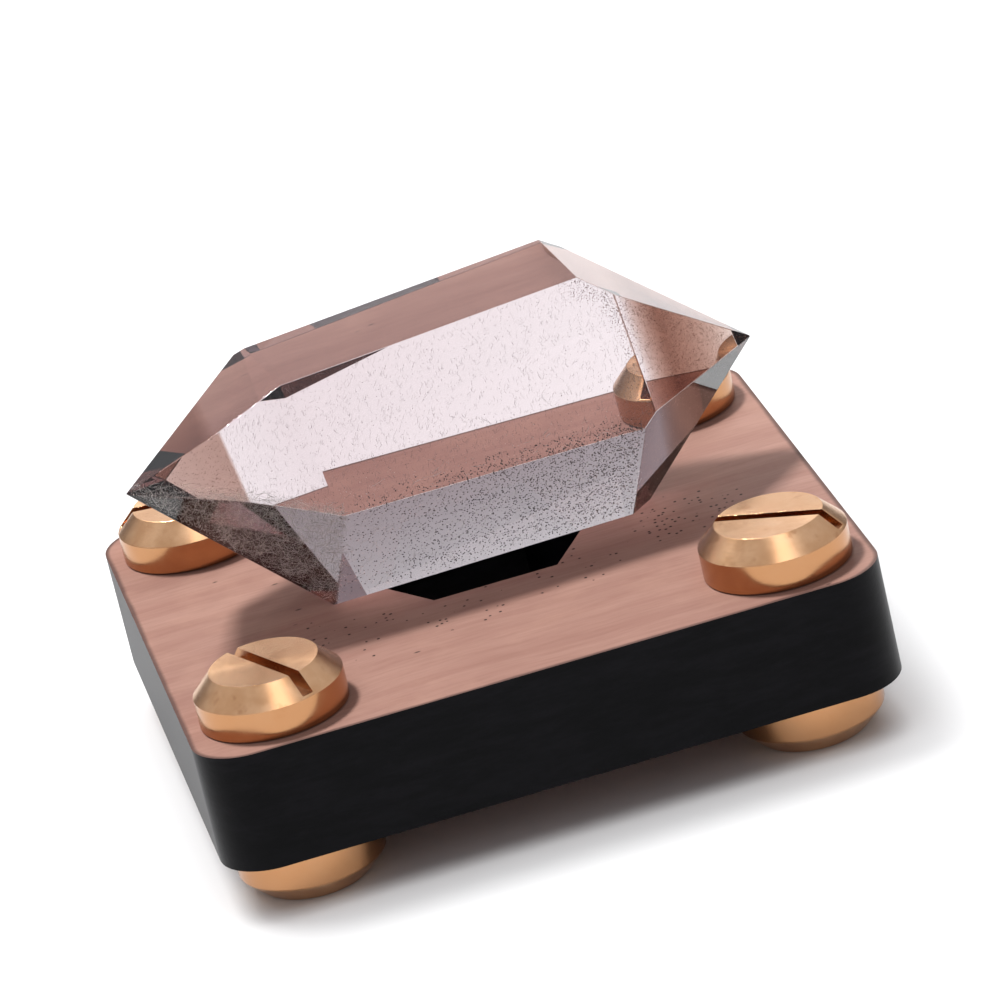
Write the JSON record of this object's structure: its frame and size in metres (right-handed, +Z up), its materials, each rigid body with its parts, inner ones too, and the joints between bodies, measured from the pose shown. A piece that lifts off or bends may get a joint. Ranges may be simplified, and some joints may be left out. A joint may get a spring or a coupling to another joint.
{
  "type": "double terminated smoky quartz",
  "caption": "Clear smoky quartz crystal with a point at each end, lying on a small wooden stand that has a hexagonal window and slotted brass posts for feet.",
  "frame": {"origin": "on the surface that the feet stand on, under the middle of the stand's block", "axes": "+X along the block's longer side, which the crystal lies along; -Y is the stand's front; +Z up"},
  "size_m": [0.046, 0.0436, 0.0291],
  "materials": {
    "quartz": "polished, see-through, faintly smoky with needle inclusions and fine specks",
    "walnut": "matte, with laser-charred near-black edges",
    "brass": "turned and polished"
  },
  "bodies": {
    "root": {"smoky_quartz_crystal": "quartz", "stand_block": "walnut", "screw_front_left": "brass", "screw_front_right": "brass", "screw_back_left": "brass", "screw_back_right": "brass", "foot_front_left": "brass", "foot_front_right": "brass", "foot_back_left": "brass", "foot_back_right": "brass"}
  },
  "joints": []
}
